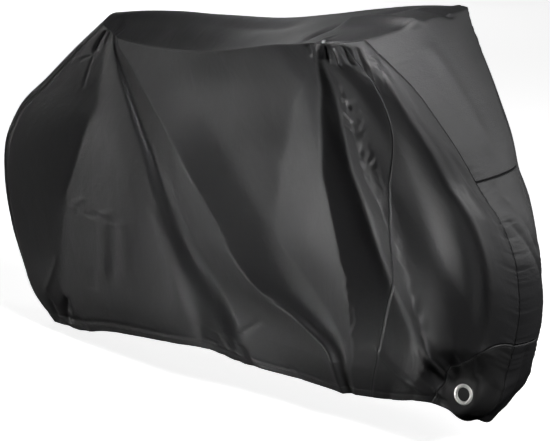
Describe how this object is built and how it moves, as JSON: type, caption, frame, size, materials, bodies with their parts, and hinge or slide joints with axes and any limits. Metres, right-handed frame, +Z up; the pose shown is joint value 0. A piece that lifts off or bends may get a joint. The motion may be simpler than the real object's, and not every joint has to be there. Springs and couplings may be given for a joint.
{
  "type": "bicycle cover",
  "caption": "Fitted bicycle cover of black coated cloth, hollow and open below, with side panels, a centre strip and metal lock eyelets in its front hem.",
  "frame": {"origin": "just under the top of the cover, where the saddle holds it up", "axes": "+X towards the bicycle's front wheel, +Y towards its left side, +Z up"},
  "size_m": [1.7588, 0.6931, 1.0236],
  "materials": {
    "coated_polyester": "satin black plain-woven polyester with a coated back",
    "patch_polyester": "doubled black polyester, slightly duller",
    "bright_metal": "bright turned grommet"
  },
  "bodies": {
    "root": {"side_main_right": "coated_polyester", "side_main_left": "coated_polyester", "side_front_right": "coated_polyester", "side_front_left": "coated_polyester", "rear_strip": "coated_polyester", "top_strip": "coated_polyester", "front_strip": "coated_polyester", "nose_panel": "patch_polyester", "lock_patch_right": "patch_polyester", "lock_patch_left": "patch_polyester", "eyelet_right": "bright_metal", "eyelet_left": "bright_metal"}
  },
  "joints": []
}
